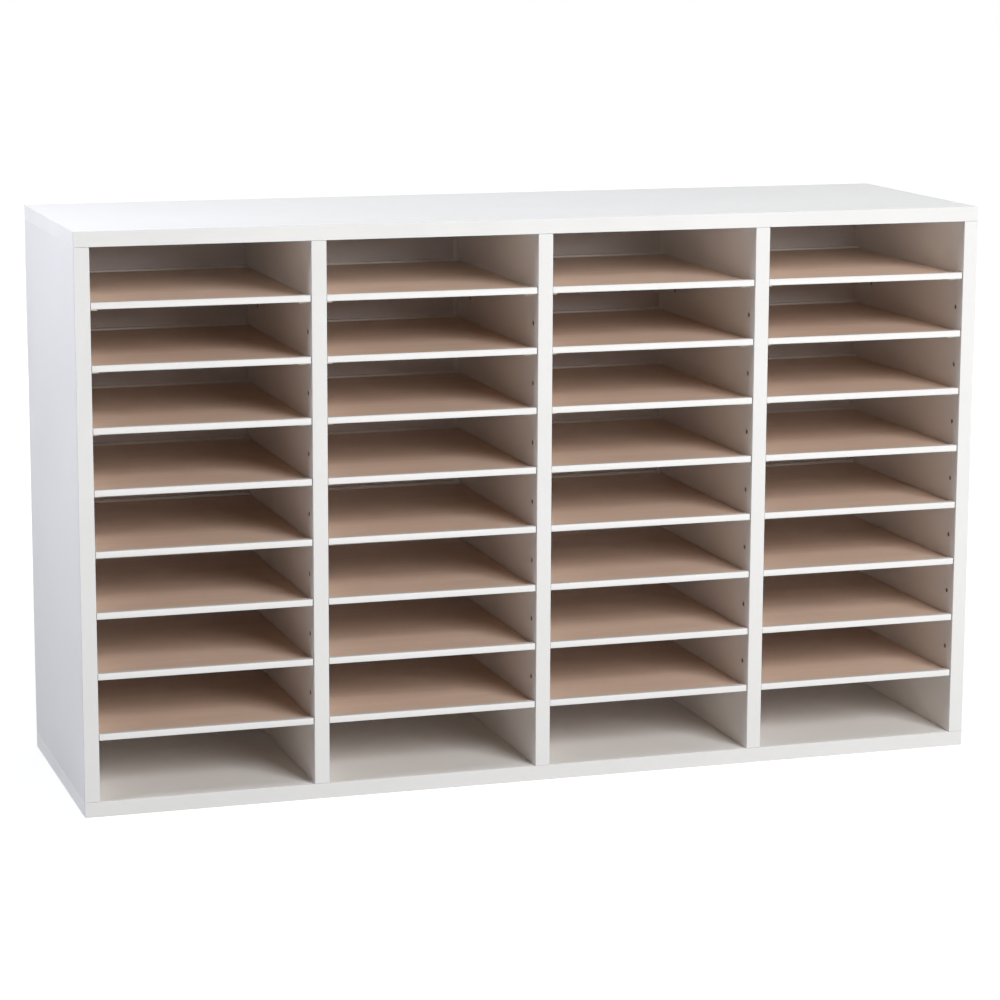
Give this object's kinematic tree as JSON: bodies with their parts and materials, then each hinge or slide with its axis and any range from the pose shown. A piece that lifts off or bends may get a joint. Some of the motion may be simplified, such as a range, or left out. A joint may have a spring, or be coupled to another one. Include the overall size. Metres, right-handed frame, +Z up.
{
  "type": "pigeonhole mail sorter",
  "caption": "White board pigeonhole sorter with upright dividers, a hardboard back and loose hardboard shelves on pins, for sorting letters and literature.",
  "frame": {"origin": "on the floor plane under the middle of the carcass", "axes": "+X along the width to the right, +Y along the depth to the back, +Z up; the open front faces -Y"},
  "size_m": [0.998, 0.296, 0.608],
  "materials": {
    "white_board": "white melamine face on particle board, satin, lightly textured",
    "hardboard": "brown hardboard, smooth face, matt",
    "white_plastic": "extruded white plastic, satin",
    "zinc_steel": "zinc plated steel"
  },
  "bodies": {
    "carcass": {"top_panel": "white_board", "bottom_panel": "white_board", "left_side": "white_board", "divider_1": "white_board", "divider_2": "white_board", "divider_3": "white_board", "right_side": "white_board", "back_left": "hardboard", "back_right": "hardboard", "back_strip": "white_plastic", "screw_top_0_front": "zinc_steel", "screw_bottom_0_front": "zinc_steel", "screw_top_0_rear": "zinc_steel", "screw_bottom_0_rear": "zinc_steel", "screw_top_1_middle": "zinc_steel", "screw_bottom_1_middle": "zinc_steel", "screw_top_2_middle": "zinc_steel", "screw_bottom_2_middle": "zinc_steel", "screw_top_3_middle": "zinc_steel", "screw_bottom_3_middle": "zinc_steel", "screw_top_4_front": "zinc_steel", "screw_bottom_4_front": "zinc_steel", "screw_top_4_rear": "zinc_steel", "screw_bottom_4_rear": "zinc_steel"},
    "shelf_1_1": {"shelf_1_1": "hardboard"},
    "shelf_1_2": {"shelf_1_2": "hardboard"},
    "shelf_1_3": {"shelf_1_3": "hardboard"},
    "shelf_1_4": {"shelf_1_4": "hardboard"},
    "shelf_1_5": {"shelf_1_5": "hardboard"},
    "shelf_1_6": {"shelf_1_6": "hardboard"},
    "shelf_1_7": {"shelf_1_7": "hardboard"},
    "shelf_1_8": {"shelf_1_8": "hardboard"},
    "shelf_2_1": {"shelf_2_1": "hardboard"},
    "shelf_2_2": {"shelf_2_2": "hardboard"},
    "shelf_2_3": {"shelf_2_3": "hardboard"},
    "shelf_2_4": {"shelf_2_4": "hardboard"},
    "shelf_2_5": {"shelf_2_5": "hardboard"},
    "shelf_2_6": {"shelf_2_6": "hardboard"},
    "shelf_2_7": {"shelf_2_7": "hardboard"},
    "shelf_2_8": {"shelf_2_8": "hardboard"},
    "shelf_3_1": {"shelf_3_1": "hardboard"},
    "shelf_3_2": {"shelf_3_2": "hardboard"},
    "shelf_3_3": {"shelf_3_3": "hardboard"},
    "shelf_3_4": {"shelf_3_4": "hardboard"},
    "shelf_3_5": {"shelf_3_5": "hardboard"},
    "shelf_3_6": {"shelf_3_6": "hardboard"},
    "shelf_3_7": {"shelf_3_7": "hardboard"},
    "shelf_3_8": {"shelf_3_8": "hardboard"},
    "shelf_4_1": {"shelf_4_1": "hardboard"},
    "shelf_4_2": {"shelf_4_2": "hardboard"},
    "shelf_4_3": {"shelf_4_3": "hardboard"},
    "shelf_4_4": {"shelf_4_4": "hardboard"},
    "shelf_4_5": {"shelf_4_5": "hardboard"},
    "shelf_4_6": {"shelf_4_6": "hardboard"},
    "shelf_4_7": {"shelf_4_7": "hardboard"},
    "shelf_4_8": {"shelf_4_8": "hardboard"}
  },
  "joints": [
    {"name": "shelf_1_1_slide", "type": "slide", "parent": "carcass", "child": "shelf_1_1", "axis": [0, -0.9975, 0.0712], "range_m": [0, 0.3]},
    {"name": "shelf_1_2_slide", "type": "slide", "parent": "carcass", "child": "shelf_1_2", "axis": [0, -0.9975, 0.0712], "range_m": [0, 0.3]},
    {"name": "shelf_1_3_slide", "type": "slide", "parent": "carcass", "child": "shelf_1_3", "axis": [0, -0.9975, 0.0712], "range_m": [0, 0.3]},
    {"name": "shelf_1_4_slide", "type": "slide", "parent": "carcass", "child": "shelf_1_4", "axis": [0, -0.9975, 0.0712], "range_m": [0, 0.3]},
    {"name": "shelf_1_5_slide", "type": "slide", "parent": "carcass", "child": "shelf_1_5", "axis": [0, -0.9975, 0.0712], "range_m": [0, 0.3]},
    {"name": "shelf_1_6_slide", "type": "slide", "parent": "carcass", "child": "shelf_1_6", "axis": [0, -0.9975, 0.0712], "range_m": [0, 0.3]},
    {"name": "shelf_1_7_slide", "type": "slide", "parent": "carcass", "child": "shelf_1_7", "axis": [0, -0.9975, 0.0712], "range_m": [0, 0.3]},
    {"name": "shelf_1_8_slide", "type": "slide", "parent": "carcass", "child": "shelf_1_8", "axis": [0, -0.9975, 0.0712], "range_m": [0, 0.3]},
    {"name": "shelf_2_1_slide", "type": "slide", "parent": "carcass", "child": "shelf_2_1", "axis": [0, -0.9975, 0.0712], "range_m": [0, 0.3]},
    {"name": "shelf_2_2_slide", "type": "slide", "parent": "carcass", "child": "shelf_2_2", "axis": [0, -0.9975, 0.0712], "range_m": [0, 0.3]},
    {"name": "shelf_2_3_slide", "type": "slide", "parent": "carcass", "child": "shelf_2_3", "axis": [0, -0.9975, 0.0712], "range_m": [0, 0.3]},
    {"name": "shelf_2_4_slide", "type": "slide", "parent": "carcass", "child": "shelf_2_4", "axis": [0, -0.9975, 0.0712], "range_m": [0, 0.3]},
    {"name": "shelf_2_5_slide", "type": "slide", "parent": "carcass", "child": "shelf_2_5", "axis": [0, -0.9975, 0.0712], "range_m": [0, 0.3]},
    {"name": "shelf_2_6_slide", "type": "slide", "parent": "carcass", "child": "shelf_2_6", "axis": [0, -0.9975, 0.0712], "range_m": [0, 0.3]},
    {"name": "shelf_2_7_slide", "type": "slide", "parent": "carcass", "child": "shelf_2_7", "axis": [0, -0.9975, 0.0712], "range_m": [0, 0.3]},
    {"name": "shelf_2_8_slide", "type": "slide", "parent": "carcass", "child": "shelf_2_8", "axis": [0, -0.9975, 0.0712], "range_m": [0, 0.3]},
    {"name": "shelf_3_1_slide", "type": "slide", "parent": "carcass", "child": "shelf_3_1", "axis": [0, -0.9975, 0.0712], "range_m": [0, 0.3]},
    {"name": "shelf_3_2_slide", "type": "slide", "parent": "carcass", "child": "shelf_3_2", "axis": [0, -0.9975, 0.0712], "range_m": [0, 0.3]},
    {"name": "shelf_3_3_slide", "type": "slide", "parent": "carcass", "child": "shelf_3_3", "axis": [0, -0.9975, 0.0712], "range_m": [0, 0.3]},
    {"name": "shelf_3_4_slide", "type": "slide", "parent": "carcass", "child": "shelf_3_4", "axis": [0, -0.9975, 0.0712], "range_m": [0, 0.3]},
    {"name": "shelf_3_5_slide", "type": "slide", "parent": "carcass", "child": "shelf_3_5", "axis": [0, -0.9975, 0.0712], "range_m": [0, 0.3]},
    {"name": "shelf_3_6_slide", "type": "slide", "parent": "carcass", "child": "shelf_3_6", "axis": [0, -0.9975, 0.0712], "range_m": [0, 0.3]},
    {"name": "shelf_3_7_slide", "type": "slide", "parent": "carcass", "child": "shelf_3_7", "axis": [0, -0.9975, 0.0712], "range_m": [0, 0.3]},
    {"name": "shelf_3_8_slide", "type": "slide", "parent": "carcass", "child": "shelf_3_8", "axis": [0, -0.9975, 0.0712], "range_m": [0, 0.3]},
    {"name": "shelf_4_1_slide", "type": "slide", "parent": "carcass", "child": "shelf_4_1", "axis": [0, -0.9975, 0.0712], "range_m": [0, 0.3]},
    {"name": "shelf_4_2_slide", "type": "slide", "parent": "carcass", "child": "shelf_4_2", "axis": [0, -0.9975, 0.0712], "range_m": [0, 0.3]},
    {"name": "shelf_4_3_slide", "type": "slide", "parent": "carcass", "child": "shelf_4_3", "axis": [0, -0.9975, 0.0712], "range_m": [0, 0.3]},
    {"name": "shelf_4_4_slide", "type": "slide", "parent": "carcass", "child": "shelf_4_4", "axis": [0, -0.9975, 0.0712], "range_m": [0, 0.3]},
    {"name": "shelf_4_5_slide", "type": "slide", "parent": "carcass", "child": "shelf_4_5", "axis": [0, -0.9975, 0.0712], "range_m": [0, 0.3]},
    {"name": "shelf_4_6_slide", "type": "slide", "parent": "carcass", "child": "shelf_4_6", "axis": [0, -0.9975, 0.0712], "range_m": [0, 0.3]},
    {"name": "shelf_4_7_slide", "type": "slide", "parent": "carcass", "child": "shelf_4_7", "axis": [0, -0.9975, 0.0712], "range_m": [0, 0.3]},
    {"name": "shelf_4_8_slide", "type": "slide", "parent": "carcass", "child": "shelf_4_8", "axis": [0, -0.9975, 0.0712], "range_m": [0, 0.3]}
  ]
}
